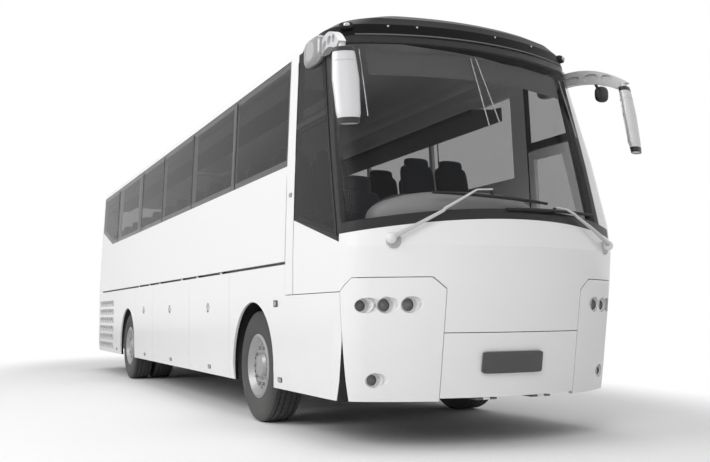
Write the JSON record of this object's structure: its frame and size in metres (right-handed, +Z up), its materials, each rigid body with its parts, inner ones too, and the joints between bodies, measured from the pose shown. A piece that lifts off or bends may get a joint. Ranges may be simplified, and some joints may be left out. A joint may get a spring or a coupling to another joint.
{
  "type": "coach bus",
  "caption": "Single-deck touring coach with raked screen, locker doors, rolling and steering wheels, swinging entrance door and opening lids.",
  "frame": {"origin": "on the road under the middle of the coach", "axes": "+X to the coach's left, +Y to its tail, +Z up"},
  "size_m": [2.8862, 12, 3.541],
  "materials": {
    "white_paint": "gloss white coach paint",
    "tinted_glass": "dark tinted safety glass",
    "black_trim": "satin black moulding",
    "lamp_glass": "clear lamp glass over a bright reflector",
    "floor_cover": "grey floor covering on plywood",
    "trim_plastic": "grained grey interior moulding",
    "seat_fabric": "dark woven seat cloth",
    "silver_casting": "silver painted casting",
    "black_rubber": "black rubber bellows",
    "wheel_steel": "silver painted steel",
    "tyre": "black tyre rubber",
    "frame_steel": "black painted steel"
  },
  "bodies": {
    "coach": {"windscreen": "tinted_glass", "windscreen_frame": "black_trim", "front_panel": "white_paint", "lamp_panels": "white_paint", "front_lamps": "lamp_glass", "side_walls": "white_paint", "side_glazing": "tinted_glass", "roof_shell": "white_paint", "roof_front_cap": "black_trim", "rear_upper_panel": "white_paint", "rear_window": "tinted_glass", "rear_lower_panel": "white_paint", "rear_lamps": "lamp_glass", "skirts": "white_paint", "hinges": "black_trim", "saloon_floor": "floor_cover", "cab_floor": "floor_cover", "entrance_steps": "floor_cover", "luggage_hold": "floor_cover", "underframe_front": "frame_steel", "underframe_rear": "frame_steel", "engine": "frame_steel", "wheel_housings": "black_trim", "front_axle": "frame_steel", "rear_axle": "frame_steel", "air_springs": "black_rubber", "dashboard": "trim_plastic", "steering_wheel": "trim_plastic", "driver_seat": "seat_fabric", "passenger_seats": "seat_fabric", "luggage_racks": "trim_plastic", "mirrors": "silver_casting", "wipers": "silver_casting"},
    "front_flap": {"front_flap": "white_paint"},
    "engine_lid": {"engine_lid": "white_paint"},
    "roof_hatch_front": {"roof_hatch_front": "white_paint"},
    "roof_hatch_rear": {"roof_hatch_rear": "white_paint"},
    "door_arms": {"door_arms": "frame_steel"},
    "entrance_door": {"entrance_door": "white_paint", "door_glass": "tinted_glass"},
    "knuckle_left": {"knuckle_left": "frame_steel"},
    "knuckle_right": {"knuckle_right": "frame_steel"},
    "track_rod": {"track_rod": "frame_steel"},
    "front_wheel_left": {"front_rim_left": "wheel_steel", "front_tyre_left": "tyre"},
    "front_wheel_right": {"front_rim_right": "wheel_steel", "front_tyre_right": "tyre"},
    "rear_wheel_left": {"rear_rims_left": "wheel_steel", "rear_tyres_left": "tyre"},
    "rear_wheel_right": {"rear_rims_right": "wheel_steel", "rear_tyres_right": "tyre"},
    "locker_1_left": {"locker_door_1_left": "white_paint"},
    "locker_1_right": {"locker_door_1_right": "white_paint"},
    "locker_2_left": {"locker_door_2_left": "white_paint"},
    "locker_2_right": {"locker_door_2_right": "white_paint"},
    "locker_3_left": {"locker_door_3_left": "white_paint"},
    "locker_3_right": {"locker_door_3_right": "white_paint"}
  },
  "joints": [
    {"name": "locker_1_left_hinge", "type": "hinge", "parent": "coach", "child": "locker_1_left", "pos_m": [1.267, -1.8825, 1.45], "axis": [0, -1, 0], "range_deg": [0, 85]},
    {"name": "locker_2_left_hinge", "type": "hinge", "parent": "coach", "child": "locker_2_left", "pos_m": [1.267, -0.0645, 1.45], "axis": [0, -1, 0], "range_deg": [0, 85]},
    {"name": "locker_3_left_hinge", "type": "hinge", "parent": "coach", "child": "locker_3_left", "pos_m": [1.267, 1.5715, 1.45], "axis": [0, -1, 0], "range_deg": [0, 85]},
    {"name": "locker_1_right_hinge", "type": "hinge", "parent": "coach", "child": "locker_1_right", "pos_m": [-1.267, -1.8825, 1.45], "axis": [0, 1, 0], "range_deg": [0, 85]},
    {"name": "locker_2_right_hinge", "type": "hinge", "parent": "coach", "child": "locker_2_right", "pos_m": [-1.267, -0.0645, 1.45], "axis": [0, 1, 0], "range_deg": [0, 85]},
    {"name": "locker_3_right_hinge", "type": "hinge", "parent": "coach", "child": "locker_3_right", "pos_m": [-1.267, 1.5715, 1.45], "axis": [0, 1, 0], "range_deg": [0, 85]},
    {"name": "engine_lid_hinge", "type": "hinge", "parent": "coach", "child": "engine_lid", "pos_m": [0, 5.992, 1.45], "axis": [1, 0, 0], "range_deg": [0, 80]},
    {"name": "front_flap_hinge", "type": "hinge", "parent": "coach", "child": "front_flap", "pos_m": [0, -5.79, 0.371], "axis": [1, 0, 0], "range_deg": [0, 80]},
    {"name": "roof_hatch_front_hinge", "type": "hinge", "parent": "coach", "child": "roof_hatch_front", "pos_m": [0, -2.454, 3.514], "axis": [1, 0, 0], "range_deg": [0, 35]},
    {"name": "roof_hatch_rear_hinge", "type": "hinge", "parent": "coach", "child": "roof_hatch_rear", "pos_m": [0, 2.546, 3.514], "axis": [1, 0, 0], "range_deg": [0, 35]},
    {"name": "door_arm_swing", "type": "hinge", "parent": "coach", "child": "door_arms", "pos_m": [1.18, -5.2, 0.94], "axis": [0, 0, -1], "range_deg": [0, 105]},
    {"name": "door_swing", "type": "hinge", "parent": "door_arms", "child": "entrance_door", "pos_m": [1.18, -4.705, 0.94], "axis": [0, 0, -1], "range_deg": [-105, 0]},
    {"name": "steering_left", "type": "hinge", "parent": "coach", "child": "knuckle_left", "pos_m": [0.886, -3.41, 0.522], "axis": [0, 0, 1], "range_deg": [-40, 40]},
    {"name": "steering_right", "type": "hinge", "parent": "coach", "child": "knuckle_right", "pos_m": [-0.886, -3.41, 0.522], "axis": [0, 0, 1], "range_deg": [-40, 40]},
    {"name": "track_rod_pivot", "type": "hinge", "parent": "knuckle_left", "child": "track_rod", "pos_m": [0.886, -3.24, 0.4], "axis": [0, 0, 1], "range_deg": [-40, 40]},
    {"name": "front_wheel_left_spin", "type": "hinge", "parent": "knuckle_left", "child": "front_wheel_left", "pos_m": [1.076, -3.41, 0.522], "axis": [1, 0, 0], "continuous": true},
    {"name": "rear_wheel_left_spin", "type": "hinge", "parent": "coach", "child": "rear_wheel_left", "pos_m": [1.086, 2.84, 0.522], "axis": [1, 0, 0], "continuous": true},
    {"name": "front_wheel_right_spin", "type": "hinge", "parent": "knuckle_right", "child": "front_wheel_right", "pos_m": [-1.076, -3.41, 0.522], "axis": [1, 0, 0], "continuous": true},
    {"name": "rear_wheel_right_spin", "type": "hinge", "parent": "coach", "child": "rear_wheel_right", "pos_m": [-1.086, 2.84, 0.522], "axis": [1, 0, 0], "continuous": true}
  ],
  "couplings": [
    {"joint": "door_swing", "follows": "door_arm_swing", "ratio": -1},
    {"joint": "steering_right", "follows": "steering_left", "ratio": 1},
    {"joint": "track_rod_pivot", "follows": "steering_left", "ratio": -1}
  ]
}
